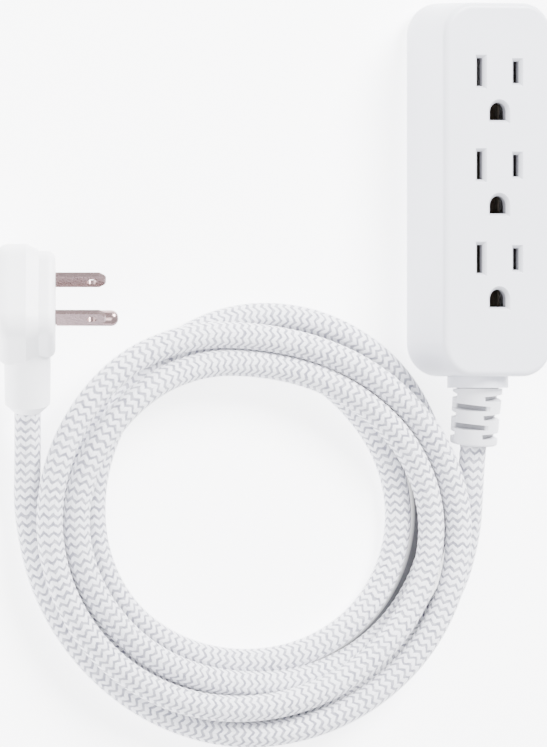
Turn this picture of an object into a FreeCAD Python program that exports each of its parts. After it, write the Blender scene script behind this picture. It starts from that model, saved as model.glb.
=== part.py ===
"""Three-outlet extension cord with a braided cord in a loose coil and a flat right-angle plug.

The outlet strip lies on its back with its outlets up. The origin is the centre of the strip's
back face, +Y runs along the strip away from the cord, and +Z points out of the outlets.
"""
import FreeCAD
import Part
import Sketcher
import math
import os

from FreeCAD import Matrix, Placement, Rotation, Vector

# Driving dimensions: alias, value in mm or degrees, what it is.
SIZES = [
    ("strip_width", 38.0, "housing across the outlets"),
    ("strip_length", 112.0, "housing along the row of outlets"),
    ("strip_depth", 26.0, "housing from back to front face"),
    ("parting_height", 14.5, "seam between the two covers, above the back face"),
    ("corner_radius", 10.0, "plan corners of the housing"),
    ("front_edge_radius", 1.8, "edge of the front face"),
    ("back_edge_radius", 5.0, "edge of the back face"),
    ("wall", 2.0, "moulded wall of the housing"),
    ("face_wall", 2.6, "front wall round the slots"),
    ("outlet_pitch", 28.0, "from one outlet to the next"),
    ("outlet_row_start", 35.2, "blade slots of the outlet furthest from the cord"),
    ("blade_spacing", 12.7, "hot blade to neutral blade"),
    ("ground_drop", 11.9, "line of the blades to the ground pin"),
    ("slot_width", 2.0, "blade slots"),
    ("neutral_slot_length", 8.4, "wide slot"),
    ("hot_slot_length", 6.5, "narrow slot"),
    ("ground_hole_radius", 2.8, "round side of the ground hole"),
    ("lead_in", 1.0, "bevel round each slot"),
    ("boss_reach_x", 12.2, "screw bosses off the centre line"),
    ("boss_reach_y", 47.5, "screw bosses along the housing"),
    ("boss_radius", 3.2, "screw bosses"),
    ("screw_radius", 1.3, "case screw shank"),
    ("screw_head_radius", 2.6, "case screw head"),
    ("screw_head_height", 1.8, "case screw head"),
    ("head_recess", 4.0, "depth of the screw wells in the back"),
    ("rib_offset", 11.5, "ribs beside the bus bars, off the centre line"),
    ("rib_gauge", 1.2, "those ribs"),
    ("clamp_width", 17.0, "cord clamp and its saddle"),
    ("clamp_length", 6.0, "cord clamp and its saddle, along the cord"),
    ("clamp_line", -43.0, "clamp screws along the housing"),
    ("clamp_screw_offset", 6.5, "clamp screws off the cord's axis"),
    ("entry_height", 13.4, "cord entry above the back face"),
    ("collar_radius", 9.2, "collar round the cord entry"),
    ("collar_length", 3.4, "collar beyond the end wall"),
    ("entry_bore_radius", 6.2, "hole in the end wall"),
    ("boot_radius", 7.5, "first ring of the strain relief"),
    ("boot_end_radius", 7.1, "last ring of the strain relief"),
    ("boot_length", 17.0, "strain relief beyond the collar"),
    ("boot_slot_floor", 4.3, "slots of the strain relief, from its axis"),
    ("boot_turn", -50.0, "degrees that the slots are turned about the strain relief"),
    ("boot_droop", 8.6, "degrees that the strain relief bends to the floor"),
    ("cord_radius", 4.0, "braided cord"),
    ("wire_radius", 1.25, "insulated conductor"),
    ("bus_base", 11.4, "underside of the bus bars"),
    ("bus_gauge", 0.6, "brass sheet"),
    ("contact_top", 20.9, "top of the spring contacts"),
    ("plug_width", 32.0, "plug across the blades"),
    ("plug_height", 26.0, "plug from the blades' side to the ground pin's side"),
    ("plug_corner", 6.5, "plug corners"),
    ("plug_back", 9.1, "full section of the plug behind the grip step"),
    ("plug_step", 3.7, "length of the grip step"),
    ("plug_nose", 4.9, "reduced section up to the face"),
    ("plug_inset", 1.8, "depth of the grip step"),
    ("blade_offset", 3.5, "blades' line off the plug's centre"),
    ("blade_length", 15.0, "blade beyond the face"),
    ("blade_width", 6.35, "blade"),
    ("blade_gauge", 1.5, "blade"),
    ("pin_length", 18.6, "ground pin beyond the face"),
    ("pin_radius", 2.38, "ground pin"),
    ("pin_shank_radius", 2.0, "ground pin where the plug is moulded round it"),
    ("pin_root", 0.25, "end of that shank beyond the face"),
    ("plug_boss_reach", 33.0, "plug centre to the end of its strain relief"),
    ("plug_boss_radius", 7.1, "root of the plug's strain relief"),
    ("plug_boss_end", 6.75, "end of the plug's strain relief"),
    ("plug_boss_rim", 2.5, "bevel round that end"),
    ("plug_back_round", 4.0, "edge of the plug's back"),
]

OUTLETS = 3
UP = Vector(0, 0, 1)
BOOT_ROOT = Vector(0, -59.4, 13.4)
JACKET_STOP = -39.5
CLAMP_HEIGHT = 6.2

# The insulating tray under the bus bars, along the housing.
CARRIER_LOW = -37
CARRIER_HIGH = 43

# Where the cord from the strip runs into the coil, and where the cord to the plug leaves it.
STRIP_LEAD_TAIL = [(1.4, -103, 5.6), (-0.8, -117, 4.2)]
PLUG_LEAD_START = [(-150.9, -98, 4.3)]
LEAD_RUN = 14.0

# The coil: centre and half-axes of its innermost lane, then the reach of the bundle outside
# that lane at each sixteenth of a turn, anticlockwise from +X.
COIL_CENTRE = (-75.4, -96.8)
COIL_HALF_AXES = (54.1, 44.6)
COIL_OUTER = [17.5, 18.5, 21.5, 20.5, 19.3, 20.5, 22, 21, 23.5, 24.5, 24.5, 26, 27, 26.5, 25.5, 27]
COIL_INNER = -4.0
COIL_HEIGHT = 16.0

doc = FreeCAD.newDocument("extension_cord")
sheet = doc.addObject("Spreadsheet::Sheet", "Sizes")
for row, (alias, value, note) in enumerate(SIZES, start=1):
    sheet.set(f"A{row}", note)
    sheet.set(f"B{row}", str(value))
    sheet.setAlias(f"B{row}", alias)
doc.recompute()


def size(alias):
    """A driving dimension from the sheet, as a number."""
    return float(sheet.get(alias))


# ---------------------------------------------------------------- PartDesign helpers

def new_body(label, placement=None):
    body = doc.addObject("PartDesign::Body", label)
    body.Label = label
    if placement is not None:
        body.Placement = placement
    return body


def origin_plane(body, role):
    return next(f for f in body.Origin.OriginFeatures if f.Role == role)


def new_sketch(body, name, role="XY_Plane", offset="0"):
    """A sketch on one of the body's origin planes, moved along its normal by an expression."""
    sketch = body.newObject("Sketcher::SketchObject", name)
    sketch.AttachmentSupport = [(origin_plane(body, role), "")]
    sketch.MapMode = "FlatFace"
    sketch.setExpression("AttachmentOffset.Base.z", offset)
    return sketch


def dimension(sketch, name, expression, kind, *where):
    """A named driving constraint that follows the sheet."""
    value = sketch_value(sketch, expression)
    index = sketch.addConstraint(sketch_constraint(kind, *where, value))
    sketch.renameConstraint(index, name)
    sketch.setExpression(f"Constraints.{name}", expression)


def sketch_constraint(kind, *values):
    return Sketcher.Constraint(kind, *values)


def rounded_rectangle(sketch, width, length, radius):
    """Rounded rectangle about the sketch's origin. The sizes are expressions."""
    w = sketch_value(sketch, width) / 2
    h = sketch_value(sketch, length) / 2
    r = sketch_value(sketch, radius)
    lines = [
        ((-w + r, -h), (w - r, -h)), ((w, -h + r), (w, h - r)),
        ((w - r, h), (-w + r, h)), ((-w, h - r), (-w, -h + r)),
    ]
    for start, end in lines:
        sketch.addGeometry(Part.LineSegment(Vector(*start, 0), Vector(*end, 0)), False)
    centres = [(w - r, -h + r), (w - r, h - r), (-w + r, h - r), (-w + r, -h + r)]
    for quarter, centre in enumerate(centres):
        circle = Part.Circle(Vector(*centre, 0), UP, r)
        start = (quarter - 1) * math.pi / 2
        sketch.addGeometry(Part.ArcOfCircle(circle, start, start + math.pi / 2), False)
    for side in range(4):
        arc = 4 + side
        sketch.addConstraint(sketch_constraint("Tangent", side, 2, arc, 1))
        sketch.addConstraint(sketch_constraint("Tangent", arc, 2, (side + 1) % 4, 1))
    sketch.addConstraint(sketch_constraint("Horizontal", 0))
    sketch.addConstraint(sketch_constraint("Vertical", 1))
    for arc in (5, 6, 7):
        sketch.addConstraint(sketch_constraint("Equal", 4, arc))
    dimension(sketch, "round", radius, "Radius", 4)
    dimension(sketch, "right", f"({width}) / 2", "DistanceX", -1, 1, 1, 1)
    dimension(sketch, "left", f"({width}) / 2", "DistanceX", 3, 1, -1, 1)
    dimension(sketch, "upper", f"({length}) / 2", "DistanceY", -1, 1, 2, 1)
    dimension(sketch, "lower", f"({length}) / 2", "DistanceY", 0, 1, -1, 1)


def sketch_value(sketch, expression):
    """The present value of an expression over the sheet."""
    return float(sketch.evalExpression(expression))


def rectangle(sketch, name, left, right, low, high):
    """Rectangle between four expressions measured from the sketch's origin."""
    x0, x1, y0, y1 = (sketch_value(sketch, e) for e in (left, right, low, high))
    first = sketch.GeometryCount
    corners = [(x0, y0), (x1, y0), (x1, y1), (x0, y1)]
    for start, end in zip(corners, corners[1:] + corners[:1]):
        sketch.addGeometry(Part.LineSegment(Vector(*start, 0), Vector(*end, 0)), False)
    for side in range(4):
        following = first + (side + 1) % 4
        sketch.addConstraint(sketch_constraint("Coincident", first + side, 2, following, 1))
    sketch.addConstraint(sketch_constraint("Horizontal", first))
    sketch.addConstraint(sketch_constraint("Horizontal", first + 2))
    sketch.addConstraint(sketch_constraint("Vertical", first + 1))
    sketch.addConstraint(sketch_constraint("Vertical", first + 3))
    place(sketch, f"{name}_left", left, "DistanceX", first, 1)
    place(sketch, f"{name}_right", right, "DistanceX", first, 2)
    place(sketch, f"{name}_low", low, "DistanceY", first, 1)
    place(sketch, f"{name}_high", high, "DistanceY", first + 2, 1)


def place(sketch, name, expression, kind, geometry, point):
    """Holds a point at a signed distance from the sketch's origin."""
    value = sketch_value(sketch, expression)
    index = sketch.addConstraint(sketch_constraint(kind, -1, 1, geometry, point, value))
    sketch.renameConstraint(index, name)
    sketch.setExpression(f"Constraints.{name}", expression)


def circle(sketch, name, x, y, radius):
    """Circle whose centre and radius are expressions."""
    centre = Vector(sketch_value(sketch, x), sketch_value(sketch, y), 0)
    value = sketch_value(sketch, radius)
    index = sketch.addGeometry(Part.Circle(centre, UP, value), False)
    place(sketch, f"{name}_x", x, "DistanceX", index, 3)
    place(sketch, f"{name}_y", y, "DistanceY", index, 3)
    dimension(sketch, f"{name}_r", radius, "Radius", index)


def ground_hole(sketch, name, x, y, radius, drop):
    """D-shaped hole, round towards +Y and flat below. All sizes are expressions."""
    cx, cy, r, d = (sketch_value(sketch, e) for e in (x, y, radius, drop))
    first = sketch.GeometryCount
    arch = Part.Circle(Vector(cx, cy, 0), UP, r)
    sketch.addGeometry(Part.ArcOfCircle(arch, 0, math.pi), False)
    path = [(cx - r, cy), (cx - r, cy - d), (cx + r, cy - d), (cx + r, cy)]
    for start, end in zip(path, path[1:]):
        sketch.addGeometry(Part.LineSegment(Vector(*start, 0), Vector(*end, 0)), False)
    for side in range(4):
        following = first + (side + 1) % 4
        sketch.addConstraint(sketch_constraint("Coincident", first + side, 2, following, 1))
    sketch.addConstraint(sketch_constraint("Vertical", first + 1))
    sketch.addConstraint(sketch_constraint("Horizontal", first + 2))
    sketch.addConstraint(sketch_constraint("Vertical", first + 3))
    place(sketch, f"{name}_x", x, "DistanceX", first, 3)
    place(sketch, f"{name}_y", y, "DistanceY", first, 3)
    dimension(sketch, f"{name}_r", radius, "Radius", first)
    place(sketch, f"{name}_start", y, "DistanceY", first, 1)
    place(sketch, f"{name}_end", y, "DistanceY", first, 2)
    place(sketch, f"{name}_flat", f"({y}) - ({drop})", "DistanceY", first + 2, 1)


def pad(body, name, sketch, length, backwards=False, taper=None):
    feature = body.newObject("PartDesign::Pad", name)
    feature.Profile = sketch
    feature.Reversed = backwards
    feature.setExpression("Length", length)
    if taper is not None:
        feature.setExpression("TaperAngle", taper)
    doc.recompute()
    return feature


def pocket(body, name, sketch, depth, backwards=False, taper=None):
    """Cuts, and stops the build if nothing was removed."""
    before = body.Shape.Volume
    feature = body.newObject("PartDesign::Pocket", name)
    feature.Profile = sketch
    feature.Reversed = backwards
    feature.setExpression("Length", depth)
    if taper is not None:
        feature.setExpression("TaperAngle", taper)
    doc.recompute()
    if not body.Shape.Volume < before - 0.01:
        raise RuntimeError(f"{body.Label}: {name} removes nothing")
    return feature


def dress(body, kind, name, edges, radius):
    """Fillet or chamfer on the named edges of the body's tip."""
    base = body.Tip
    feature = body.newObject(f"PartDesign::{kind}", name)
    feature.Base = (base, edges)
    feature.setExpression("Radius" if kind == "Fillet" else "Size", radius)
    doc.recompute()
    return feature


def edges_at_height(shape, height):
    """Names of the edges that lie at one Z."""
    names = []
    for number, edge in enumerate(shape.Edges, start=1):
        box = edge.BoundBox
        if max(abs(box.ZMin - height), abs(box.ZMax - height)) < 1e-4:
            names.append(f"Edge{number}")
    return names


# ---------------------------------------------------------------- Part helpers

def feature(label, shape, placement=None):
    """A Part::Feature that holds a shape made with Part's own functions."""
    part = doc.addObject("Part::Feature", label)
    part.Label = label
    part.Shape = shape
    if placement is not None:
        part.Placement = placement
    return part


def rod(start, end, radius, end_radius=None):
    """Round bar or cone frustum between two points."""
    axis = Vector(*end) - Vector(*start)
    if end_radius is None or abs(end_radius - radius) < 1e-9:
        return Part.makeCylinder(radius, axis.Length, Vector(*start), axis)
    return Part.makeCone(radius, end_radius, axis.Length, Vector(*start), axis)


def block(low, high):
    """Box between two corners."""
    spans = [b - a for a, b in zip(low, high)]
    return Part.makeBox(*spans, Vector(*low))


def prism(points, along):
    """Extrudes a closed polygon along a vector."""
    loop = [Vector(*p) for p in points]
    face = Part.Face(Part.makePolygon(loop + loop[:1]))
    return face.extrude(Vector(*along))


def fused(shapes):
    solid = shapes[0]
    for shape in shapes[1:]:
        solid = solid.fuse(shape)
    return solid.removeSplitter()


def rounded_path(points):
    """Straight runs joined by tangent arcs, each as large as its two runs allow."""
    nodes = [Vector(*p) for p in points]
    edges = []
    radii = []
    here = nodes[0]
    for before, corner, after in zip(nodes, nodes[1:], nodes[2:]):
        into = (corner - before).normalize()
        out = (after - corner).normalize()
        half_turn = into.getAngle(out) / 2
        setback = 0.45 * min((corner - before).Length, (after - corner).Length)
        radii.append(setback / math.tan(half_turn))
        first = corner - into * setback
        last = corner + out * setback
        bisector = (out - into).normalize()
        middle = corner + bisector * radii[-1] * (1 / math.cos(half_turn) - 1)
        edges.append(Part.LineSegment(here, first).toShape())
        edges.append(Part.Arc(first, middle, last).toShape())
        here = last
    edges.append(Part.LineSegment(here, nodes[-1]).toShape())
    return Part.Wire(edges), radii


def tube(label, points, radius):
    """Solid round tube along the route, with its volume compared with section times length."""
    path, radii = rounded_path(points)
    along = Vector(*points[1]) - Vector(*points[0])
    ring = Part.Wire(Part.makeCircle(radius, Vector(*points[0]), along))
    solid = path.makePipeShell([ring], True, False)
    expected = math.pi * radius ** 2 * path.Length
    ratio = solid.Volume / expected
    print(label, "radii", [round(r, 1) for r in radii], "length", round(path.Length, 1),
          "volume ratio", round(ratio, 4))
    if not 0.98 < ratio < 1.02:
        raise RuntimeError(f"{label}: volume doesn't match its length")
    return solid


# ---------------------------------------------------------------- housing

def housing_outline(body, name, offset, inset="0"):
    sketch = new_sketch(body, name, offset=offset)
    rounded_rectangle(sketch, f"Sizes.strip_width - 2 * ({inset})",
                      f"Sizes.strip_length - 2 * ({inset})", f"Sizes.corner_radius - ({inset})")
    return sketch


def boss_circles(body, name, offset, radius):
    sketch = new_sketch(body, name, offset=offset)
    for number, (sx, sy) in enumerate([(1, 1), (-1, 1), (-1, -1), (1, -1)]):
        circle(sketch, f"boss{number}", f"{sx} * Sizes.boss_reach_x",
               f"{sy} * Sizes.boss_reach_y", radius)
    return sketch


def outlet_sketch(body, name, margin):
    """The three openings of the outlet furthest from the cord, each widened by a margin."""
    sketch = new_sketch(body, name, offset="Sizes.strip_depth")
    middle = "Sizes.outlet_row_start"
    for side, sign in (("neutral", -1), ("hot", 1)):
        x = f"{sign} * Sizes.blade_spacing / 2"
        across = f"(Sizes.slot_width / 2 + {margin})"
        along = f"(Sizes.{side}_slot_length / 2 + {margin})"
        rectangle(sketch, side, f"{x} - {across}", f"{x} + {across}",
                  f"{middle} - {along}", f"{middle} + {along}")
    ground_hole(sketch, "ground", "0", f"{middle} - Sizes.ground_drop",
                f"Sizes.ground_hole_radius + {margin}", f"Sizes.ground_hole_radius - 0.3 + {margin}")
    return sketch


def outlet_pattern(body, cuts):
    """Repeats the outlet's cuts along the row."""
    pattern = body.newObject("PartDesign::LinearPattern", f"{body.Label}_row")
    pattern.Originals = cuts
    pattern.Direction = (origin_plane(body, "Y_Axis"), [""])
    pattern.Reversed = True
    pattern.Occurrences = OUTLETS
    pattern.setExpression("Length", f"{OUTLETS - 1} * Sizes.outlet_pitch")
    doc.recompute()
    body.Tip = pattern
    doc.recompute()


def collar_half(body, name, above):
    """The cord collar's share of one cover, with the hole for the strain relief."""
    sketch = new_sketch(body, f"{name}_ring", "XZ_Plane", "-(-Sizes.strip_length / 2)")
    r = size("collar_radius")
    z = size("entry_height")
    rise = size("parting_height") - z
    start = math.asin(rise / r)
    full = Part.Circle(Vector(0, z, 0), UP, r)
    if above:
        arc = Part.ArcOfCircle(full, start, math.pi - start)
    else:
        arc = Part.ArcOfCircle(full, math.pi - start, 2 * math.pi + start)
    sketch.addGeometry(arc, False)
    sketch.addGeometry(Part.LineSegment(arc.EndPoint, arc.StartPoint), False)
    sketch.addConstraint(sketch_constraint("Coincident", 0, 2, 1, 1))
    sketch.addConstraint(sketch_constraint("Coincident", 1, 2, 0, 1))
    sketch.addConstraint(sketch_constraint("Horizontal", 1))
    place(sketch, "axis_height", "Sizes.entry_height", "DistanceY", 0, 3)
    place(sketch, "seam", "Sizes.parting_height", "DistanceY", 1, 1)
    sketch.addConstraint(sketch_constraint("PointOnObject", 0, 3, -2))
    dimension(sketch, "collar", "Sizes.collar_radius", "Radius", 0)
    pad(body, f"{name}_collar", sketch, "Sizes.collar_length")
    bore = new_sketch(body, f"{name}_bore_outline", "XZ_Plane", "Sizes.strip_length / 2 + 10")
    circle(bore, "entry", "0", "Sizes.entry_height", "Sizes.entry_bore_radius")
    pocket(body, f"{name}_entry", bore, "14")
    seat = new_sketch(body, f"{name}_seat_outline", "XZ_Plane",
                      "Sizes.strip_length / 2 + Sizes.collar_length")
    circle(seat, "seat", "0", "Sizes.entry_height", "Sizes.boot_radius + 0.1")
    pocket(body, f"{name}_seat", seat, "1.4")


def make_front_cover():
    body = new_body("front_cover")
    pad(body, "front_block", housing_outline(body, "front_outline", "Sizes.parting_height"),
        "Sizes.strip_depth - Sizes.parting_height")
    rim = edges_at_height(body.Shape, size("strip_depth"))
    dress(body, "Fillet", "front_edge", rim, "Sizes.front_edge_radius")
    pocket(body, "front_hollow",
           housing_outline(body, "front_inner", "Sizes.parting_height", "Sizes.wall"),
           "Sizes.strip_depth - Sizes.parting_height - Sizes.face_wall", backwards=True)
    pad(body, "front_bosses", boss_circles(body, "front_posts", "Sizes.parting_height",
                                           "Sizes.boss_radius"),
        "Sizes.strip_depth - Sizes.parting_height - 1")
    pocket(body, "front_pilots", boss_circles(body, "front_pilot_holes", "Sizes.parting_height",
                                              "Sizes.screw_radius"), "7", backwards=True)
    ribs = new_sketch(body, "bus_ribs", offset="Sizes.bus_base")
    for side, sign in (("left", -1), ("right", 1)):
        middle = f"{sign} * Sizes.rib_offset"
        rectangle(ribs, side, f"{middle} - Sizes.rib_gauge / 2", f"{middle} + Sizes.rib_gauge / 2",
                  str(CARRIER_LOW), str(CARRIER_HIGH))
    pad(body, "rib_walls", ribs, "Sizes.strip_depth - Sizes.bus_base - 1")
    collar_half(body, "front", True)
    slots = pocket(body, "slot_cuts", outlet_sketch(body, "slots", "0"),
                   "Sizes.face_wall + 1")
    bevel = pocket(body, "slot_bevels", outlet_sketch(body, "bevels", "Sizes.lead_in"),
                   "Sizes.lead_in", taper="-45")
    outlet_pattern(body, [slots, bevel])
    return body


def make_back_cover():
    body = new_body("back_cover")
    pad(body, "back_block", housing_outline(body, "back_outline", "0"), "Sizes.parting_height")
    dress(body, "Fillet", "back_edge", edges_at_height(body.Shape, 0), "Sizes.back_edge_radius")
    pocket(body, "back_hollow",
           housing_outline(body, "back_inner", "Sizes.parting_height", "Sizes.wall"),
           "Sizes.parting_height - Sizes.wall")
    pad(body, "back_bosses", boss_circles(body, "back_posts", "1", "Sizes.boss_radius + 0.6"),
        "Sizes.parting_height - 1")
    pocket(body, "back_clearance", boss_circles(body, "back_clearance_holes", "-1",
                                                "Sizes.screw_radius + 0.2"),
           "Sizes.parting_height + 2", backwards=True)
    pocket(body, "back_wells", boss_circles(body, "back_well_holes", "0",
                                            "Sizes.screw_head_radius + 0.3"),
           "Sizes.head_recess", backwards=True)
    rests = new_sketch(body, "carrier_rests", offset="1")
    for number, (x, y) in enumerate([(-9, -30), (9, -30), (-9, 36), (9, 36)]):
        circle(rests, f"rest{number}", str(x), str(y), "2")
    pad(body, "rest_posts", rests, "Sizes.bus_base - 3")
    saddle = new_sketch(body, "saddle_outline", offset="1")
    rectangle(saddle, "saddle", "-Sizes.clamp_width / 2", "Sizes.clamp_width / 2",
              "Sizes.clamp_line - Sizes.clamp_length / 2",
              "Sizes.clamp_line + Sizes.clamp_length / 2")
    pad(body, "saddle", saddle, "10")
    collar_half(body, "back", False)
    groove = new_sketch(body, "saddle_groove", "XZ_Plane", "47")
    circle(groove, "cord", "0", "Sizes.entry_height", "Sizes.cord_radius")
    pocket(body, "saddle_cut", groove, "8")
    holes = new_sketch(body, "clamp_screw_holes", offset="11")
    for side, sign in (("left", -1), ("right", 1)):
        circle(holes, side, f"{sign} * Sizes.clamp_screw_offset", "Sizes.clamp_line", "1.2")
    pocket(body, "clamp_pilots", holes, "7")
    return body


def screw(foot, length, radius, head_radius, head_height, direction=1):
    """Pan-head screw with a cross recess. The head's bearing face is at foot."""
    x, y, z = foot
    tip = z + direction * length
    shank = rod((x, y, z), (x, y, tip - direction * radius), radius)
    point = rod((x, y, tip - direction * radius), (x, y, tip), radius, radius * 0.3)
    head = rod((x, y, z - direction * head_height), (x, y, z), head_radius * 0.86, head_radius)
    solid = fused([shank, point, head])
    crown = z - direction * head_height
    for along, across in ((1.6, 0.3), (0.3, 1.6)):
        low = min(crown, crown + direction * 0.9)
        solid = solid.cut(block((x - along, y - across, low), (x + along, y + across, low + 0.9)))
    return solid


def make_screws():
    bearing = size("head_recess")
    screws = []
    for sx in (1, -1):
        for sy in (1, -1):
            foot = (sx * size("boss_reach_x"), sy * size("boss_reach_y"), bearing)
            screws.append(screw(foot, 16.5, size("screw_radius"), size("screw_head_radius"),
                                size("screw_head_height")))
    feature("case_screws", Part.makeCompound(screws))
    offset = size("clamp_screw_offset")
    line = size("clamp_line")
    top = size("entry_height") + CLAMP_HEIGHT
    clamp = [screw((sign * offset, line, top), 14.5, 1.2, 2.0, 1.5, -1) for sign in (1, -1)]
    feature("clamp_screws", Part.makeCompound(clamp))


def make_clamp():
    width = size("clamp_width")
    length = size("clamp_length")
    line = size("clamp_line")
    axis_height = size("entry_height")
    bar = doc.addObject("Part::Box", "clamp_bar")
    bar.setExpression("Length", "Sizes.clamp_width")
    bar.setExpression("Width", "Sizes.clamp_length")
    bar.Height = CLAMP_HEIGHT
    bar.Placement = Placement(Vector(-width / 2, line - length / 2, axis_height), Rotation())
    bore = doc.addObject("Part::Cylinder", "clamp_bore")
    bore.setExpression("Radius", "Sizes.cord_radius")
    bore.Height = length + 2
    flat = Rotation(Vector(1, 0, 0), 90)
    bore.Placement = Placement(Vector(0, line + length / 2 + 1, axis_height), flat)
    holes = []
    for name, sign in (("left", -1), ("right", 1)):
        hole = doc.addObject("Part::Cylinder", f"clamp_hole_{name}")
        hole.Radius = 1.3
        hole.Height = CLAMP_HEIGHT + 2
        foot = Vector(sign * size("clamp_screw_offset"), line, axis_height - 1)
        hole.Placement = Placement(foot, Rotation())
        holes.append(hole)
    tools = doc.addObject("Part::MultiFuse", "clamp_openings")
    tools.Shapes = [bore] + holes
    clamp = doc.addObject("Part::Cut", "cord_clamp")
    clamp.Label = "cord_clamp"
    clamp.Base = bar
    clamp.Tool = tools


# ---------------------------------------------------------------- contacts

def contact_profile(x, half_gap, flare):
    """Section of a spring contact: a U of sheet brass whose mouth opens outwards."""
    gauge = size("bus_gauge")
    base = size("bus_base")
    top = size("contact_top")
    waist = top - 2.0
    inner = half_gap
    outer = half_gap + gauge
    return [
        (x - outer, 0, base), (x + outer, 0, base), (x + outer, 0, waist),
        (x + outer + flare, 0, top), (x + inner + flare, 0, top), (x + inner, 0, waist),
        (x + inner, 0, base + gauge), (x - inner, 0, base + gauge), (x - inner, 0, waist),
        (x - inner - flare, 0, top), (x - outer - flare, 0, top), (x - outer, 0, waist),
    ]


def bus_bar(label, x, first_y, contact_length, half_gap, flare, reach):
    """Bar of sheet brass under the row, with one spring contact for each outlet."""
    gauge = size("bus_gauge")
    base = size("bus_base")
    half = contact_length / 2
    pieces = []
    for number in range(OUTLETS):
        y = first_y - number * size("outlet_pitch")
        clip = prism(contact_profile(x, half_gap, flare), (0, contact_length, 0))
        clip.translate(Vector(0, y - half, 0))
        pieces.append(clip)
    low = first_y - (OUTLETS - 1) * size("outlet_pitch") - half - reach
    edge = half_gap + gauge
    pieces.append(block((x - edge, low, base), (x + edge, first_y + half, base + gauge)))
    return feature(label, fused(pieces))


def make_contacts():
    row = size("outlet_row_start")
    half = size("blade_spacing") / 2
    bus_bar("neutral_bus", -half, row, 8.0, 0.72, 0.5, 5.0)
    bus_bar("hot_bus", half, row, 6.6, 0.72, 0.5, 5.7)
    bus_bar("ground_bus", 0, row - size("ground_drop"), 4.6, 2.3, 0.2, 0.6)


def make_carrier():
    """Insulating tray under the bus bars, with a fence on each side of the ground bar."""
    top = size("bus_base")
    half = 13
    fence = 4.0
    gauge = 0.7
    tray = block((-half, CARRIER_LOW, top - 2), (half, CARRIER_HIGH, top))
    fences = [block((sign * fence - gauge / 2, -25, top),
                    (sign * fence + gauge / 2, CARRIER_HIGH, top + 3)) for sign in (-1, 1)]
    feature("bus_carrier", fused([tray] + fences))


# ---------------------------------------------------------------- strain relief and strip wiring

def make_boot():
    """Segmented rubber strain relief: a flange in the housing, then rings cut by slots."""
    root = size("boot_radius")
    end = size("boot_end_radius")
    length = size("boot_length")
    floor = size("boot_slot_floor")
    rings = rod((0, 1.6, 0), (0, -length, 0), root, end)
    rings = rings.makeFillet(0.7, [e for e in rings.Edges if abs(e.CenterOfMass.y + length) < 0.01])
    pitch = 5.8
    gap = 1.4
    for number in range(3):
        y = -2.4 - number * pitch
        for sign in (-1, 1):
            rings = rings.cut(slot_cutter(y, sign, 0, gap, floor))
    for number in range(2):
        y = -5.4 - number * pitch
        for sign in (-1, 1):
            rings = rings.cut(slot_cutter(y, sign, 90, gap, floor))
    neck_in = rod((0, 0.3, 0), (0, -1.5, 0), root - 1.1)
    for piece in (rings, neck_in):
        piece.rotate(Vector(), Vector(0, 1, 0), size("boot_turn"))
        piece.rotate(Vector(), Vector(1, 0, 0), size("boot_droop"))
        piece.translate(BOOT_ROOT)
    start = size("strip_length") / 2 + size("collar_length")
    rings = rings.cut(block((-12, -start - 0.2, 0), (12, -start + 5, 30)))
    height = size("entry_height")
    seat = rod((0, -start + 1.4, height), (0, -start, height), root)
    neck = rod((0, -start + 5.4, height), (0, -start + 1.4, height), size("entry_bore_radius"))
    flange = rod((0, -start + 8.4, height), (0, -start + 5.4, height), 8.0)
    solid = fused([seat, neck, flange, neck_in, rings])
    feature("strain_relief_boot", solid.cut(jacket_in_strip()))


def slot_cutter(y, sign, turn, gap, floor):
    """Wedge-sided slot through one side of the rings, down to just above the cord."""
    half = 6.2
    beyond = 12
    profile = [
        (sign * floor, y - gap / 2, -half), (sign * beyond, y - gap * 1.1, -half),
        (sign * beyond, y + gap * 1.1, -half), (sign * floor, y + gap / 2, -half),
    ]
    cutter = prism(profile, (0, 0, 2 * half))
    cutter.rotate(Vector(), Vector(0, 1, 0), turn)
    return cutter


def along_boot(distance):
    """Point on the strain relief's axis, measured from its root at the collar."""
    droop = math.radians(size("boot_droop"))
    return BOOT_ROOT + Vector(0, -math.cos(droop), -math.sin(droop)) * distance


def jacket_in_strip():
    end = along_boot(size("boot_length"))
    route = [tuple(end), tuple(BOOT_ROOT), (0, JACKET_STOP, BOOT_ROOT.z)]
    return tube("cord_end_in_strip", route, size("cord_radius"))


def make_strip_wiring():
    radius = size("wire_radius")
    feature("cord_end_in_strip", jacket_in_strip())
    seat = size("bus_base") + size("bus_gauge") + radius
    half = size("blade_spacing") / 2
    routes = {
        "strip_wire_neutral": [(-2.6, JACKET_STOP, seat), (-2.6, -38, seat), (-half, -34.5, seat),
                               (-half, -25.2, seat)],
        "strip_wire_hot": [(2.6, JACKET_STOP, seat), (2.6, -38, seat), (half, -34.5, seat),
                           (half, -24.6, seat)],
        "strip_wire_ground": [(0, JACKET_STOP, seat), (0, -35.2, seat)],
    }
    for label, route in routes.items():
        feature(label, tube(label, route, radius))


# ---------------------------------------------------------------- plug

# The plug's own axes: across the blades, from the blades to the ground pin, along the blades.
PLUG_TILT = math.radians(30.5)
PLUG_ROLL = math.radians(61.0)
JACKET_DEPTH = 20.0
PLUG_CENTRE = Vector(-158.8, -34.6, 17.55)


def plug_axes():
    """Prongs rise with the tilt, and the blades' line is rolled about them."""
    forward = Vector(math.cos(PLUG_TILT), 0, math.sin(PLUG_TILT))
    over = Vector(-math.sin(PLUG_TILT), 0, math.cos(PLUG_TILT))
    down = Vector(0, -1, 0)
    across = down * math.sin(PLUG_ROLL) + over * math.cos(PLUG_ROLL)
    grounded = down * math.cos(PLUG_ROLL) - over * math.sin(PLUG_ROLL)
    return across, grounded, forward


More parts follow.
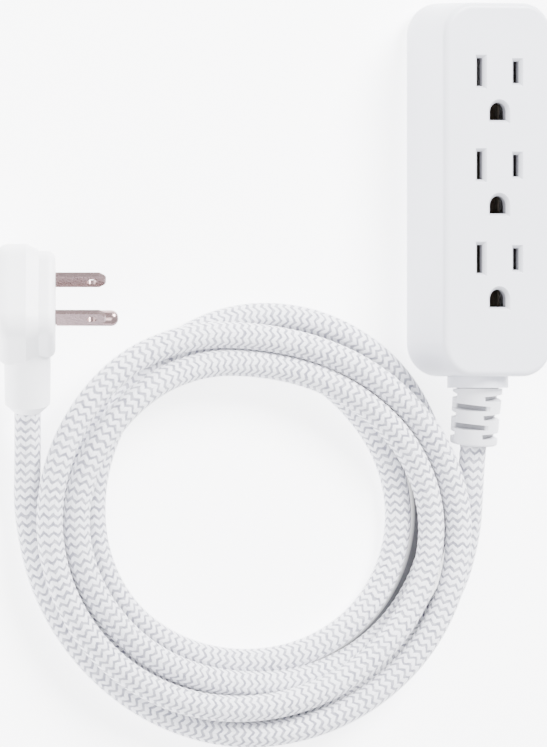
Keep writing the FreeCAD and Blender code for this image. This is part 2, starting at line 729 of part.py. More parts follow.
def plug_placement():
    """The plug's local origin is the centre of its back face."""
    u, v, p = plug_axes()
    base = PLUG_CENTRE - p * (plug_depth() / 2)
    return Placement(Matrix(u.x, v.x, p.x, base.x, u.y, v.y, p.y, base.y,
                            u.z, v.z, p.z, base.z, 0, 0, 0, 1))


def plug_depth():
    return size("plug_back") + size("plug_step") + size("plug_nose")


def plug_outline(body, name, offset, inset):
    sketch = new_sketch(body, name, offset=offset)
    rounded_rectangle(sketch, f"Sizes.plug_width - 2 * ({inset})",
                      f"Sizes.plug_height - 2 * ({inset})", f"Sizes.plug_corner - ({inset}) / 2")
    return sketch


def make_plug_body():
    """Moulded cover: full back, grip step, smaller nose, and a tapered boss at one corner."""
    body = new_body("plug_shell")
    pad(body, "back_section", plug_outline(body, "back_section_outline", "0", "0"),
        "Sizes.plug_back")
    slope = "-atan(Sizes.plug_inset / Sizes.plug_step)"
    pad(body, "grip_step", plug_outline(body, "step_outline", "Sizes.plug_back", "0"),
        "Sizes.plug_step", taper=slope)
    pad(body, "nose", plug_outline(body, "nose_outline", "Sizes.plug_back + Sizes.plug_step",
                                   "Sizes.plug_inset"), "Sizes.plug_nose")
    dress(body, "Fillet", "back_round", edges_at_height(body.Shape, 0), "Sizes.plug_back_round")
    dress(body, "Fillet", "face_round", edges_at_height(body.Shape, plug_depth()), "2.4")
    return body


def along_boss(distance):
    """Point on the axis of the plug's strain relief, in the plug's own frame."""
    return Vector(0, 0, plug_depth() / 2 + 0.5) + Vector(1, 1, 0).normalize() * distance


def plug_boss_solid():
    """Tapered strain relief along the diagonal of the plug, in the plug's own frame."""
    reach = size("plug_boss_reach")
    foot = along_boss(6)
    rim = size("plug_boss_rim")
    stop = along_boss(reach - rim)
    end = along_boss(reach)
    root = size("plug_boss_radius")
    tip = size("plug_boss_end")
    return fused([rod(foot, stop, root, tip), rod(stop, end, tip, tip - rim)])


def blade_shape(x, y):
    """Flat blade with a bevelled tip, a hole near it and a crimp barrel at its root."""
    half = size("blade_gauge") / 2
    wide = size("blade_width") / 2
    face = plug_depth()
    tip = face + size("blade_length")
    bevel = 2.0
    shoulder = 2.0
    profile = [
        (x - half, y - wide, 5.0), (x - half, y + wide, 5.0), (x - half, y + wide, tip - bevel),
        (x - half, y + wide - shoulder, tip), (x - half, y - wide + shoulder, tip),
        (x - half, y - wide, tip - bevel),
    ]
    blade = prism(profile, (2 * half, 0, 0))
    ends = [e for e in blade.Edges if e.BoundBox.ZMin > tip - 0.01 and e.Length > 2]
    blade = blade.makeChamfer(0.45, ends)
    hole = rod((x - 2, y, tip - 4.2), (x + 2, y, tip - 4.2), 1.5)
    barrel = rod((x, y - 3.1, 6.0), (x, y + 3.4, 6.0), 1.7)
    return fused([blade.cut(hole), barrel])


def pin_shape(y):
    """Round ground pin with a domed tip and a crimp barrel at its root."""
    radius = size("pin_radius")
    tip = plug_depth() + size("pin_length")
    root = plug_depth() + size("pin_root")
    shaft = rod((0, y, root), (0, y, tip), radius)
    shaft = shaft.makeFillet(radius - 0.2, [e for e in shaft.Edges if e.BoundBox.ZMin > tip - 0.01])
    shank = rod((0, y, 5.0), (0, y, root), size("pin_shank_radius"))
    barrel = rod((1.5, y, 6.0), (5.6, y, 6.0), 1.7)
    return fused([shaft, shank, barrel])


def make_plug():
    pose = plug_placement()
    offset = size("blade_offset")
    half = size("blade_spacing") / 2
    ground_y = size("ground_drop") - offset
    radius = size("wire_radius")
    neutral = blade_shape(-half, -offset)
    hot = blade_shape(half, -offset)
    pin = pin_shape(ground_y)
    insert = block((-10.5, -8.5, 8.2), (10.5, 12.0, 15.2))
    insert = insert.makeFillet(3.0, [e for e in insert.Edges if e.Length < 7.1])
    insert = insert.cut(fused([neutral, hot])).cut(pin)
    mouth = along_boss(size("plug_boss_reach"))
    inner = along_boss(JACKET_DEPTH)
    jacket = rod(mouth, inner, size("cord_radius"))

    def at_jacket(x, y, z):
        """A run that leaves the jacket's end square on, off its centre line."""
        shift = Vector(x, y, z)
        return [tuple(along_boss(JACKET_DEPTH - 2.5) + shift), tuple(inner + shift)]

    routes = {
        "plug_wire_hot": [(half, 3.4 - offset, 6), (half, 1.6, 6)] + at_jacket(1.4, -1.4, -1.2),
        "plug_wire_neutral": [(-half, 3.4 - offset, 6), (-half, 1.4, 6), (-3.4, 4.0, 3.0),
                              (6.8, 9.0, 2.9)] + at_jacket(-1.1, 1.1, -2.0),
        "plug_wire_ground": [(5.6, ground_y, 6), (7.2, ground_y, 6)] + at_jacket(-0.4, 0.4, 2.0),
    }
    wires = {label: tube(label, route, radius) for label, route in routes.items()}
    for wire in wires.values():
        insert = insert.cut(wire)
    outer = make_plug_body().Shape.fuse(plug_boss_solid()).removeSplitter()
    outer = outer.cut(fused([neutral, hot])).cut(pin).cut(insert).cut(jacket)
    for wire in wires.values():
        outer = outer.cut(wire)
    feature("plug_body", outer, pose)
    feature("plug_insert", insert, pose)
    feature("neutral_blade", neutral, pose)
    feature("hot_blade", hot, pose)
    feature("ground_pin", pin, pose)
    feature("cord_end_in_plug", jacket, pose)
    for label, wire in wires.items():
        feature(label, wire, pose)


# ---------------------------------------------------------------- free cord

def coil_loop(reach, height):
    """Closed smooth outline round the coil, at a distance outside its innermost lane."""
    points = []
    for step, extra in enumerate(reach):
        angle = step * 2 * math.pi / len(reach)
        x = COIL_CENTRE[0] + (COIL_HALF_AXES[0] + extra) * math.cos(angle)
        y = COIL_CENTRE[1] + (COIL_HALF_AXES[1] + extra) * math.sin(angle)
        points.append(Vector(x, y, height))
    curve = Part.BSplineCurve()
    curve.interpolate(Points=points, PeriodicFlag=True)
    return Part.Wire(curve.toShape())


def make_cord():
    radius = size("cord_radius")
    outer = Part.Face(coil_loop(COIL_OUTER, 0)).extrude(Vector(0, 0, COIL_HEIGHT))
    inner = Part.Face(coil_loop([COIL_INNER] * 16, 0)).extrude(Vector(0, 0, COIL_HEIGHT))
    ring = outer.cut(inner)
    rims = [e for e in ring.Edges if e.BoundBox.ZLength < 1e-3]
    coil = ring.makeFillet(4.0, rims)
    feature("cord_coil", coil)
    reach = size("plug_boss_reach")
    mouth = [plug_placement().multVec(along_boss(reach + run)) for run in (LEAD_RUN, 0)]
    exit_run = [along_boot(size("boot_length") + run) for run in (0, 12.5)]
    leads = {
        "cord_strip_lead": [tuple(p) for p in exit_run] + STRIP_LEAD_TAIL,
        "cord_plug_lead": PLUG_LEAD_START + [tuple(p) for p in mouth],
    }
    for label, route in leads.items():
        print(label, [[round(v, 2) for v in point] for point in route])
        feature(label, largest(tube(label, route, radius).cut(coil)))


def largest(shape):
    """The biggest solid of a cut shape."""
    return max(shape.Solids, key=lambda solid: solid.Volume)


# ---------------------------------------------------------------- build, check and write

NODES = [
    "front_cover", "back_cover", "case_screws", "strain_relief_boot", "cord_clamp",
    "clamp_screws", "neutral_bus", "hot_bus", "ground_bus", "bus_carrier",
    "strip_wire_neutral", "strip_wire_hot", "strip_wire_ground", "cord_end_in_strip",
    "plug_body", "plug_insert", "neutral_blade", "hot_blade", "ground_pin",
    "plug_wire_neutral", "plug_wire_hot", "plug_wire_ground", "cord_end_in_plug",
    "cord_strip_lead", "cord_coil", "cord_plug_lead",
]


def check_document():
    failed = [o.Name for o in doc.Objects if {"Invalid", "Error"} & set(o.State)]
    if failed:
        raise RuntimeError(f"failed objects: {failed}")


def write_parts():
    os.makedirs("parts", exist_ok=True)
    parts = {o.Label: o for o in doc.Objects if o.Label in NODES}
    for label in NODES:
        shape = parts[label].Shape
        if shape.isNull() or not shape.isValid():
            raise RuntimeError(f"{label}: bad shape")
        box = shape.BoundBox
        print(f"{label:22s} solids {len(shape.Solids)} volume {shape.Volume:9.1f} "
              f"x {box.XMin:7.1f} {box.XMax:7.1f} y {box.YMin:7.1f} {box.YMax:7.1f} "
              f"z {box.ZMin:6.2f} {box.ZMax:6.2f}")
    for label in NODES:
        parts[label].Shape.exportStep(f"parts/{label}.step")


make_front_cover()
make_back_cover()
make_screws()
make_clamp()
make_contacts()
make_carrier()
make_boot()
make_strip_wiring()
make_plug()
make_cord()
doc.recompute()
check_document()
write_parts()
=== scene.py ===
"""Three-outlet extension cord: a braided cord in a loose coil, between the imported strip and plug.

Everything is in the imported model's frame: the strip lies on its back at the origin, its outlets
up (+Z), its cord end towards -Y. Lengths are in metres, apart from those said to be millimetres.
"""

import math

import bpy
import numpy as np
from mathutils import Matrix, Vector


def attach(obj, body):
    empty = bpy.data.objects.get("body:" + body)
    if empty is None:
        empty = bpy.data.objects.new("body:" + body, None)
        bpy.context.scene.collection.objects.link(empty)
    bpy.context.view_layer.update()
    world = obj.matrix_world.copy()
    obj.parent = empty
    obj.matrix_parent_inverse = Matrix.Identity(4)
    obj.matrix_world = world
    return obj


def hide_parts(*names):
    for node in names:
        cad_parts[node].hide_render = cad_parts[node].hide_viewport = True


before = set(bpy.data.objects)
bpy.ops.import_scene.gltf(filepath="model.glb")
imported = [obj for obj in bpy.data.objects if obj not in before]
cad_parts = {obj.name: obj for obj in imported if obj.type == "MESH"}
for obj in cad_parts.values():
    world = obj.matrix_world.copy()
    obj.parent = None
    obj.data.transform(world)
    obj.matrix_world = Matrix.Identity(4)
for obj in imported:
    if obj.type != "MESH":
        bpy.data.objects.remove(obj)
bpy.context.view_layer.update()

MM = 0.001

# ---------------------------------------------------------------- camera

TILT = math.radians(30.5)          # the camera leans this far from straight above, towards -X
RIGHT = Vector((math.cos(TILT), 0, math.sin(TILT)))
UP = Vector((0, 1, 0))
TOWARDS_CAMERA = Vector((-math.sin(TILT), 0, math.cos(TILT)))
LENS = 1000                        # mm, on a 36 mm sensor
SENSOR = 36
VIEW_HEIGHT = 223 * MM
VIEW_CENTRE = (-54.5 * MM, -55.1 * MM, 45 * MM)


def make_camera():
    data = bpy.data.cameras.new("camera")
    data.lens = LENS
    data.sensor_width = SENSOR
    camera = bpy.data.objects.new("camera", data)
    bpy.context.collection.objects.link(camera)
    distance = VIEW_HEIGHT * LENS / SENSOR
    across, along, height = VIEW_CENTRE
    target = RIGHT * across + UP * along + TOWARDS_CAMERA * height
    turn = Matrix((RIGHT, UP, TOWARDS_CAMERA)).transposed().to_4x4()
    camera.matrix_world = Matrix.Translation(target + TOWARDS_CAMERA * distance) @ turn
    bpy.context.scene.camera = camera


make_camera()

# ---------------------------------------------------------------- the cord's route

# Millimetres. The strain relief stands on the strip's end at BOOT_ROOT, and the cord leaves it at
# BOOT_EXIT.
CORD_DIAMETER = 8.0
BOOT_ROOT = (0, -59.4, 13.4)
BOOT_EXIT = (0, -76.21, 10.86)
BOOT_DROOP = 8.6                   # degrees below level
BOOT_TURN = -50                    # degrees, of its slots about its axis

# Millimetres. The lead out of the strip, and the lead into the plug.
LEAD_IN = [BOOT_EXIT, (0, -88.57, 8.99), (1.4, -103, 5.6)]
LEAD_OUT = [(-150.9, -98, 4.3), (-151.79, -79.78, 6.64), (-153.75, -66.32, 9.97)]

# Millimetres. The innermost lane of the coil is an oval.
COIL_CENTRE = (-75.4, -96.8)
COIL_HALF_AXES = (54.1, 44.6)
STEPS_PER_TURN = 16
FIRST_STEP = 1
LAST_STEP = 71

# Millimetres, one row for each turn, clockwise from above, an entry for each eighth of a turn:
# right, lower right, bottom, lower left, left, upper left, top, upper right. How far the lane
# lies outside the innermost one, then the height of its centre line.
ENTRIES_PER_TURN = 8
LANE = [
    25, 20, 15, 12, 10, 7, 5.5, 0.5,
    0, 1.2, 0.7, 0.7, 0.9, 8.2, 15.3, 18,
    14, 11, 7.2, 9, 10.4, 8, 0.3, 1,
    7.4, 10.5, 14.5, 19, 19.6, 18.3, 8.4, 9.5,
    16.8, 20.5, 23, 20.3, 20.4, 20,
]
HEIGHT = [
    5, 4, 4, 4, 4, 4, 4, 4,
    4, 4, 4, 4, 6.5, 11.5, 4.5, 4,
    4, 4, 7.4, 11.2, 12.4, 19, 11.5, 11.6,
    11.2, 12.2, 12.4, 12, 12.3, 17.5, 13, 12.4,
    11.8, 12, 7.5, 4, 4, 4,
]


def between(values, place):
    """Smooth curve through evenly spaced values, read at a fractional place."""
    last = len(values) - 1
    start = min(int(place), last - 1)
    f = place - start
    a, b, c, d = (values[max(0, min(last, start + k))] for k in (-1, 0, 1, 2))
    return b + 0.5 * f * (c - a + f * (2 * a - 5 * b + 4 * c - d + f * (3 * (b - c) + d - a)))


def coil_points():
    """Points of the coil from the strip's lead to the plug's, in millimetres."""
    points = []
    for step in range(FIRST_STEP, LAST_STEP + 1):
        turn = -2 * math.pi * step / STEPS_PER_TURN
        place = ENTRIES_PER_TURN * step / STEPS_PER_TURN
        out = between(LANE, place)
        x = COIL_CENTRE[0] + (COIL_HALF_AXES[0] + out) * math.cos(turn)
        y = COIL_CENTRE[1] + (COIL_HALF_AXES[1] + out) * math.sin(turn)
        points.append((x, y, between(HEIGHT, place)))
    return points


def smooth_line(points):
    """Points, in metres, along the NURBS spline with these control points in millimetres."""
    curve = bpy.data.curves.new("route", "CURVE")
    curve.dimensions = "3D"
    curve.resolution_u = 24
    spline = curve.splines.new("NURBS")
    spline.points.add(len(points) - 1)
    for place, point in zip(spline.points, points):
        place.co = (*(value * MM for value in point), 1)
    spline.order_u = 3
    spline.use_endpoint_u = True
    route = bpy.data.objects.new("route", curve)
    bpy.context.collection.objects.link(route)
    line = bpy.data.meshes.new_from_object(route)
    found = np.array([vertex.co for vertex in line.vertices])
    bpy.data.objects.remove(route)
    bpy.data.curves.remove(curve)
    bpy.data.meshes.remove(line)
    return found


# ---------------------------------------------------------------- the braided cord

COLUMNS = 16                       # columns of chevrons round the cord
ACROSS = 2                         # vertices over one column
CHEVRON = 2.62 * MM                # one stripe to the next along the cord
ROWS = 4                           # rings over one stripe
SLANT = 0.50                       # how far a stripe climbs over one column, in stripes
RIDGE = 0.08 * MM                  # height of a column over the grooves between columns
YARN = 0.12 * MM                   # height of a stripe's yarns over the gaps
LEVEL_END = 4 * MM                 # the rings level out over this much at the cord's far end


def along_line(line, spacing):
    """Evenly spaced centres along a line, with their distances from its start."""
    runs = np.linalg.norm(np.diff(line, axis=0), axis=1)
    far = np.concatenate([[0], np.cumsum(runs)])
    count = int(round(far[-1] / spacing)) + 1
    wanted = np.linspace(0, far[-1], count)
    centres = np.stack([np.interp(wanted, far, line[:, axis]) for axis in range(3)], axis=1)
    return centres, wanted


def carried_frames(centres):
    """Two unit vectors across the line at each centre, carried along it without twist."""
    tangents = np.gradient(centres, axis=0)
    tangents /= np.linalg.norm(tangents, axis=1)[:, None]
    side = np.cross(tangents[0], (0, 0, 1))
    side /= np.linalg.norm(side)
    sides = []
    for tangent in tangents:
        side = side - tangent * np.dot(side, tangent)
        side /= np.linalg.norm(side)
        sides.append(side)
    sides = np.array(sides)
    return sides, np.cross(tangents, sides)


def zigzag(around):
    """0 at one edge of a column, 1 at the other, and back over the next column."""
    return np.abs((around * COLUMNS + 1) % 2 - 1)


def ring_places(far, around):
    """Distance along the cord of each vertex, in rings that climb with the braid's stripes."""
    length = far[-1]
    climb = zigzag(around) * SLANT * CHEVRON
    levelling = np.minimum(1, (length - far)[:, None] / LEVEL_END)
    return np.clip(far[:, None] + climb[None, :] * levelling, 0, length)


def ring_radii(far, around):
    """Radius at each vertex: columns stand over their grooves, and stripes over their gaps."""
    rise = np.sin(np.pi * ((around * COLUMNS) % 1)) ** 2
    stripe = np.cos(2 * np.pi * far / CHEVRON)[:, None]
    return CORD_DIAMETER / 2 * MM - RIDGE * (1 - rise)[None, :] - YARN * (1 - stripe) / 2


def tube_faces(rings, count):
    """Quads between neighbouring rings of count vertices, and a cap on each end."""
    faces = []
    for ring in range(rings - 1):
        here = ring * count
        for k in range(count):
            other = (k + 1) % count
            faces.append((here + k, here + other, here + count + other, here + count + k))
    faces.append(tuple(range(count - 1, -1, -1)))
    faces.append(tuple((rings - 1) * count + k for k in range(count)))
    return faces


def unwrap(mesh, places, around):
    """U is the fraction of the way round, V the distance along the cord in stripes."""
    layer = mesh.uv_layers.new(name="braid")
    count = len(around)
    u = np.broadcast_to(around, places.shape)
    v = places / CHEVRON
    u_next = np.roll(u, -1, axis=1) + (np.arange(count) == count - 1)
    v_next = np.roll(v, -1, axis=1)
    quads = np.stack([u[:-1], v[:-1], u_next[:-1], v_next[:-1],
                      u_next[1:], v_next[1:], u[1:], v[1:]], axis=2)
    caps = np.zeros((2, count, 2))
    layer.data.foreach_set("uv", np.concatenate([quads.reshape(-1), caps.reshape(-1)]))


def make_braid(line):
    """Mesh tube along a line, with its centre line."""
    centres, far = along_line(line, CHEVRON / ROWS)
    sides, overs = carried_frames(centres)
    count = COLUMNS * ACROSS
    around = np.arange(count) / count
    angle = 2 * np.pi * around
    places = ring_places(far, around)
    radii = ring_radii(far, around)
    coordinates = []
    for axis in range(3):
        centre = np.interp(places, far, centres[:, axis])
        side = np.interp(places, far, sides[:, axis])
        over = np.interp(places, far, overs[:, axis])
        coordinates.append(centre + radii * (side * np.cos(angle) + over * np.sin(angle)))
    vertices = np.stack(coordinates, axis=2).reshape(-1, 3)
    mesh = bpy.data.meshes.new("cord")
    mesh.from_pydata(vertices.tolist(), [], tube_faces(len(far), count))
    unwrap(mesh, places, around)
    mesh.polygons.foreach_set("use_smooth", [True] * len(mesh.polygons))
    mesh.update()
    return mesh, centres


# ---------------------------------------------------------------- node helpers

USUAL_NOISE = (0.3, 0.7)           # nearly all of a noise texture's values lie between these


class Shader:
    """A Principled material built a node at a time."""

    def __init__(self, name, colour, roughness, **settings):
        self.material = bpy.data.materials.new(name)
        self.material.use_nodes = True
        self.tree = self.material.node_tree
        self.surface = self.tree.nodes["Principled BSDF"]
        self.set(self.surface, "Base Color", (*colour, 1))
        self.set(self.surface, "Roughness", roughness)
        for socket, value in settings.items():
            self.set(self.surface, socket.replace("_", " "), value)

    def set(self, node, socket, value):
        """Sets a socket to a value, or links another node's output to it."""
        target = node.inputs[socket]
        if isinstance(value, bpy.types.NodeSocket):
            self.tree.links.new(value, target)
        else:
            target.default_value = value

    def node(self, kind, output=0, inputs=(), **attributes):
        """Adds a node, sets its attributes and inputs, and gives back one of its outputs."""
        made = self.tree.nodes.new(kind)
        for name, value in attributes.items():
            setattr(made, name, value)
        for socket, value in dict(inputs).items():
            self.set(made, socket, value)
        return made.outputs[output]

    def math(self, operation, a, b=0.0):
        return self.node("ShaderNodeMath", operation=operation, inputs={0: a, 1: b})

    def coordinates(self, kind="Object"):
        return self.node("ShaderNodeTexCoord", kind)

    def axes(self, vector):
        """The outputs X, Y and Z of a vector."""
        parts = self.tree.nodes.new("ShaderNodeSeparateXYZ")
        self.set(parts, "Vector", vector)
        return parts.outputs

    def noise(self, scale, detail=3.0, roughness=0.5, vector=None):
        inputs = {"Scale": scale, "Detail": detail, "Roughness": roughness,
                  "Vector": self.coordinates() if vector is None else vector}
        return self.node("ShaderNodeTexNoise", inputs=inputs)

    def remap(self, value, low, high, to_low=0.0, to_high=1.0):
        inputs = {"Value": value, "From Min": low, "From Max": high,
                  "To Min": to_low, "To Max": to_high}
        return self.node("ShaderNodeMapRange", inputs=inputs)

    def ramp(self, value, start, end):
        """0 at start and 1 at end, both in millimetres."""
        return self.remap(value, start * MM, end * MM)

    def cloud(self, scale, detail, low=0.0, high=1.0):
        """Noise stretched to run from low to high, with scale patches to a metre."""
        return self.remap(self.noise(scale, detail), *USUAL_NOISE, low, high)

    def mix(self, factor, a, b):
        """Colour from a, at a factor of 0, to b, at 1."""
        made = self.tree.nodes.new("ShaderNodeMix")
        made.data_type = "RGBA"
        self.set(made, 0, factor)
        for index, value in ((6, a), (7, b)):
            self.set(made, index, value if isinstance(value, bpy.types.NodeSocket) else (*value, 1))
        return made.outputs[2]

    def bump(self, height, distance, strength, normal=None):
        """Normal of a relief that is distance deep, in millimetres, on top of another normal."""
        inputs = {"Height": height, "Distance": distance * MM, "Strength": strength}
        if normal is not None:
            inputs["Normal"] = normal
        return self.node("ShaderNodeBump", inputs=inputs)

    def finish(self, **links):
        """Sets the surface's named sockets and gives back the material."""
        for socket, value in links.items():
            self.set(self.surface, socket.replace("_", " "), value)
        return self.material


# ---------------------------------------------------------------- plastic and metal

SLOT_SHADE = (0.20, 0.20, 0.22)        # painted shade inside slots and hollows

# Millimetres, where the painted shade inside the housing ends: across and along it from its middle,
# and up to its face and down to its back from the surface that it lies on.
CASE_SIDE = (12.0, 12.5)
CASE_END = (53.0, 53.5)
CASE_FACE = (23.6, 25.9)
CASE_BACK = (3.0, 2.0)
FACE_FALL_OFF = 2.0                # power with which the painted shade deepens down a slot's wall

BOOT_RINGS = (4.35, 5.1)           # mm off the strain relief's axis, from the painted shade on a slot's floor to a clear ring

# Lines to a metre left in a metal by drawing: across the lines, and along them.
DRAWN_ACROSS = 1500.0
DRAWN_ALONG = 60.0


def dimmed(colour, share):
    return tuple(value * share for value in colour)


def moulded(name, colour, roughness, grain, out_of_shade=None):
    """Moulded plastic: flow marks, uneven gloss, spark-eroded grain, painted shade in slots where a
    mask is given.
    """
    shader = Shader(name, colour, roughness)
    base = shader.mix(shader.cloud(35, 4), dimmed(colour, 0.965), colour)
    # painted shade in the slots and hollows, where the mask falls to 0
    if out_of_shade is not None:
        base = shader.mix(out_of_shade(shader), SLOT_SHADE, base)
    gloss = shader.cloud(180, 3, roughness - 0.05, roughness + 0.07)
    fine = shader.bump(shader.noise(2600, 2), 0.03, grain)
    broad = shader.bump(shader.noise(60, 2), 0.12, 0.25, fine)
    return shader.finish(Base_Color=base, Roughness=gloss, Normal=broad)


def housing_out_of_shade(shader):
    """1 on the housing's outer faces, falling to 0 down the slots' walls and inside it, where shade
    is painted.
    """
    parts = shader.axes(shader.coordinates())
    across = shader.ramp(shader.math("ABSOLUTE", parts["X"]), *CASE_SIDE)
    along = shader.ramp(shader.math("ABSOLUTE", parts["Y"]), *CASE_END)
    face = shader.math("POWER", shader.ramp(parts["Z"], *CASE_FACE), FACE_FALL_OFF)
    back = shader.ramp(parts["Z"], *CASE_BACK)
    return shader.math("MAXIMUM", shader.math("MAXIMUM", across, along),
                       shader.math("MAXIMUM", face, back))


def boot_out_of_shade(shader):
    """1 on the rings of the strain relief, 0 on the floors of its slots, where shade is painted."""
    turn = Matrix.Rotation(math.radians(BOOT_DROOP), 3, "X")
    turn = turn @ Matrix.Rotation(math.radians(BOOT_TURN), 3, "Y")
    reach = shader.node("ShaderNodeVectorMath", operation="SUBTRACT",
                        inputs={0: shader.coordinates(), 1: Vector(BOOT_ROOT) * MM})
    off_axis = []
    for axis in ((1, 0, 0), (0, 0, 1)):
        along = shader.node("ShaderNodeVectorMath", "Value", operation="DOT_PRODUCT",
                            inputs={0: reach, 1: turn @ Vector(axis)})
        off_axis.append(shader.math("ABSOLUTE", along))
    return shader.ramp(shader.math("MAXIMUM", *off_axis), *BOOT_RINGS)


def metal(name, colour, roughness, drawn_axis):
    """Stamped metal: fine drawn lines along one axis, blotchy plating."""
    shader = Shader(name, colour, roughness, Metallic=1.0)
    stretch = [DRAWN_ACROSS] * 3
    stretch[drawn_axis] = DRAWN_ALONG
    lines = shader.node("ShaderNodeMapping", inputs={"Vector": shader.coordinates(),
                                                     "Scale": stretch})
    drawn = shader.noise(1.0, 4, 0.6, lines)
    base = shader.mix(shader.cloud(160, 4), dimmed(colour, 0.92), colour)
    gloss = shader.remap(drawn, *USUAL_NOISE, roughness - 0.04, roughness + 0.05)
    return shader.finish(Base_Color=base, Roughness=gloss,
                         Normal=shader.bump(drawn, 0.006, 0.25))


# ---------------------------------------------------------------- the braid's look

BRAID_WHITE = (0.86, 0.86, 0.90)
BRAID_GREY = (0.22, 0.22, 0.27)
BRAID_CREVICE_SHADE = (0.06, 0.06, 0.08)    # painted shade between the yarns and in the grooves
YARNS = 4                          # to a stripe
STRIPE_EDGE = (-0.62, 0.0)         # part of the stripe's wave over which grey turns to white
GROOVE_WIDTH = 0.15                # in columns
GROOVE_SHADE = 0.86                 # painted shade at the bottom of a groove


def braid_place(shader, along, column):
    """How far into its stripe a point lies, in stripes, with the stripes' edges a little uneven."""
    climb = shader.math("PINGPONG", column, 1.0)
    place = shader.math("SUBTRACT", along, shader.math("MULTIPLY", climb, SLANT))
    return shader.math("ADD", place, shader.cloud(700, 2, -0.09, 0.09))


def braid_material():
    """White braid crossed by light grey zigzags, each stripe a bundle of fine yarns."""
    shader = Shader("braid", BRAID_WHITE, 0.8, Sheen_Weight=0.25, Sheen_Roughness=0.5)
    parts = shader.axes(shader.coordinates("UV"))
    column = shader.math("MULTIPLY", parts["X"], float(COLUMNS))
    place = braid_place(shader, parts["Y"], column)
    wave = shader.math("COSINE", shader.math("MULTIPLY", place, 2 * math.pi))
    threads = shader.math("SINE", shader.math("MULTIPLY", place, YARNS * 2 * math.pi))
    groove = shader.remap(shader.math("PINGPONG", column, 0.5), 0.0, GROOVE_WIDTH,
                          GROOVE_SHADE, 1.0)

    pale_patches = shader.remap(shader.noise(520, 2), 0.35, 0.65, 0.30, 0.0)
    stripe = shader.math("MAXIMUM", shader.remap(wave, *STRIPE_EDGE), pale_patches)
    colour = shader.mix(stripe, BRAID_GREY, BRAID_WHITE)
    # painted shade: darker between the yarns and down the grooves between columns, with random
    # fluff
    yarn_gap_shade = shader.remap(threads, -1.0, 1.0, 0.95, 1.0)
    fluff = shader.cloud(2500, 3, 0.93, 1.02)
    crevice_shade_and_fluff = shader.math("MULTIPLY", shader.math("MULTIPLY", yarn_gap_shade, fluff), groove)
    colour = shader.mix(crevice_shade_and_fluff, BRAID_CREVICE_SHADE, colour)

    height = shader.math("ADD", shader.math("MULTIPLY", threads, 0.3),
                         shader.math("MULTIPLY", groove, 0.7))
    height = shader.math("ADD", height, shader.math("MULTIPLY", wave, 0.4))
    return shader.finish(Base_Color=colour, Normal=shader.bump(height, 0.10, 0.5))


# ---------------------------------------------------------------- making the cord


def make_cord():
    line = smooth_line(LEAD_IN + coil_points() + LEAD_OUT)
    mesh, centres = make_braid(line)
    cord = bpy.data.objects.new("cord", mesh)
    bpy.context.collection.objects.link(cord)
    mesh.materials.append(braid_material())
    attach(cord, "root")
    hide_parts("cord_strip_lead", "cord_coil", "cord_plug_lead")


make_cord()

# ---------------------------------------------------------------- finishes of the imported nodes

# The nodes of each finish, and its material. Metals were drawn along X, Y or Z: 0, 1 or 2.
FINISHES = {
    "housing": (["front_cover", "back_cover"],
                moulded("housing", (0.68, 0.69, 0.74), 0.36, 0.25, housing_out_of_shade)),
    "boot": (["strain_relief_boot"], moulded("boot", (0.70, 0.70, 0.73), 0.55, 0.5, boot_out_of_shade)),
    "plug": (["plug_body"], moulded("plug", (0.90, 0.90, 0.92), 0.45, 0.35)),
    "prong": (["neutral_blade", "hot_blade", "ground_pin"],
              metal("prong", (0.30, 0.215, 0.21), 0.26, 0)),
    "contact": (["neutral_bus", "hot_bus", "ground_bus"],
                metal("contact", (0.30, 0.27, 0.23), 0.42, 1)),
    "screw": (["case_screws", "clamp_screws"], metal("screw", (0.58, 0.58, 0.60), 0.34, 2)),
    "insert": (["plug_insert", "bus_carrier", "cord_clamp"],
               moulded("insert", (0.55, 0.56, 0.58), 0.5, 0.4)),
    "white_wire": (["strip_wire_neutral", "plug_wire_neutral"],
                   moulded("white_wire", (0.78, 0.78, 0.78), 0.4, 0.3)),
    "black_wire": (["strip_wire_hot", "plug_wire_hot"],
                   moulded("black_wire", (0.03, 0.03, 0.03), 0.4, 0.3)),
    "green_wire": (["strip_wire_ground", "plug_wire_ground"],
                   moulded("green_wire", (0.04, 0.28, 0.10), 0.4, 0.3)),
    "jacket": (["cord_end_in_strip", "cord_end_in_plug"],
               moulded("jacket", (0.70, 0.70, 0.74), 0.7, 0.6)),
}


def dress_nodes():
    for nodes, material in FINISHES.values():
        for name in nodes:
            node = bpy.data.objects[name]
            node.data.materials.clear()
            node.data.materials.append(material)


dress_nodes()

# ---------------------------------------------------------------- floor and light

FLOOR_SIZE = 6
FLOOR_GLOW = 3.2
PAPER_SHADES = ((0.92, 0.92, 0.93), (0.94, 0.94, 0.95))
# painted shadow under the coil
COIL_SHADOW_PAINT = (0.12, 0.12, 0.13)

# A shadow is painted on the ring of floor that the coil covers, which lies on an oval, a middle and
# its half axes.
# Reckoned in shares of them, it goes from painted shadow to clear over INNER_EDGE inwards and
# OUTER_EDGE outwards.
COIL_SHADE = (-0.071, -0.0968)
COIL_SHADE_HALF_AXES = (0.0665, 0.0570)
INNER_EDGE = (0.86, 0.80)
OUTER_EDGE = (0.98, 1.06)

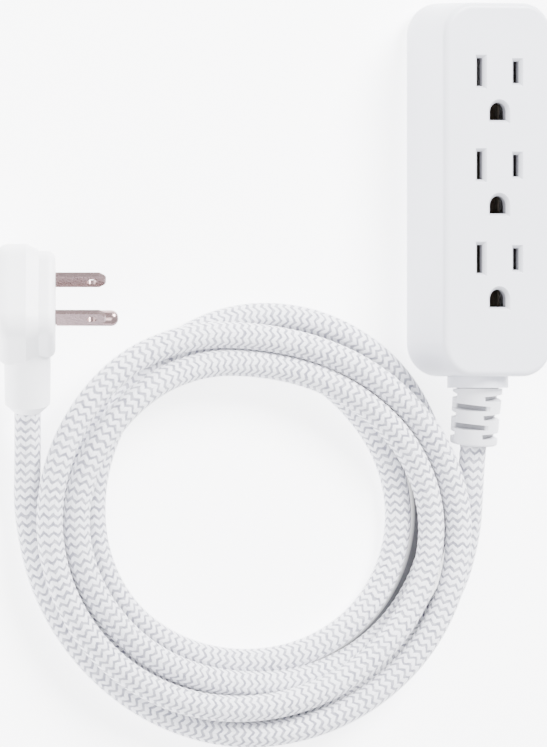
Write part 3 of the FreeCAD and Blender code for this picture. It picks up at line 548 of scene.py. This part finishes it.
SKY_COLOUR = (0.95, 0.96, 1.0, 1)
SKY_STRENGTH = 1.7
LIGHTS_AIM = (-0.07, -0.05, 0)


def off_coil_shadow(shader):
    """0 where a shadow is painted on the floor under the coil, 1 away from it."""
    parts = shader.axes(shader.coordinates())
    squares = []
    for axis, middle, half in zip("XY", COIL_SHADE, COIL_SHADE_HALF_AXES):
        share = shader.math("DIVIDE", shader.math("SUBTRACT", parts[axis], middle), half)
        squares.append(shader.math("MULTIPLY", share, share))
    reach = shader.math("SQRT", shader.math("ADD", *squares))
    return shader.math("MAXIMUM", shader.remap(reach, *INNER_EDGE),
                       shader.remap(reach, *OUTER_EDGE))


def make_floor():
    """White paper that glows a little, as on a light table, with a painted shadow under the coil,
    dark and unlit.
    """
    bpy.ops.mesh.primitive_plane_add(size=FLOOR_SIZE)
    floor = bpy.context.object
    floor.name = "floor"
    shader = Shader("paper", (0.93, 0.93, 0.94), 0.9, Emission_Color=(1.0, 1.0, 1.0, 1.0))
    tint = shader.mix(shader.cloud(8, 3), *PAPER_SHADES)
    # painted shadow under the coil: dark paper there, and no glow
    clear = off_coil_shadow(shader)
    paper = shader.mix(clear, COIL_SHADOW_PAINT, tint)
    glow = shader.math("MULTIPLY", clear, FLOOR_GLOW)
    floor.data.materials.append(shader.finish(Base_Color=paper, Emission_Strength=glow))


def soft_light(name, place, size, power):
    """Round area light, turned to LIGHTS_AIM. Its power is in watts."""
    data = bpy.data.lights.new(name, "AREA")
    data.shape = "DISK"
    data.size = size
    data.energy = power
    light = bpy.data.objects.new(name, data)
    bpy.context.collection.objects.link(light)
    light.location = place
    gaze = Vector(LIGHTS_AIM) - Vector(place)
    light.rotation_euler = gaze.to_track_quat("-Z", "Y").to_euler()


def make_light():
    """A bright even sky, with a soft key light from the strip's far end and a weak fill."""
    world = bpy.data.worlds.new("studio")
    bpy.context.scene.world = world
    world.use_nodes = True
    sky = world.node_tree.nodes["Background"]
    sky.inputs["Color"].default_value = SKY_COLOUR
    sky.inputs["Strength"].default_value = SKY_STRENGTH
    soft_light("key", (0.45, 0.8, 1.0), 0.8, 95)
    soft_light("fill", (-0.9, -0.3, 0.9), 0.9, 20)


make_floor()
make_light()
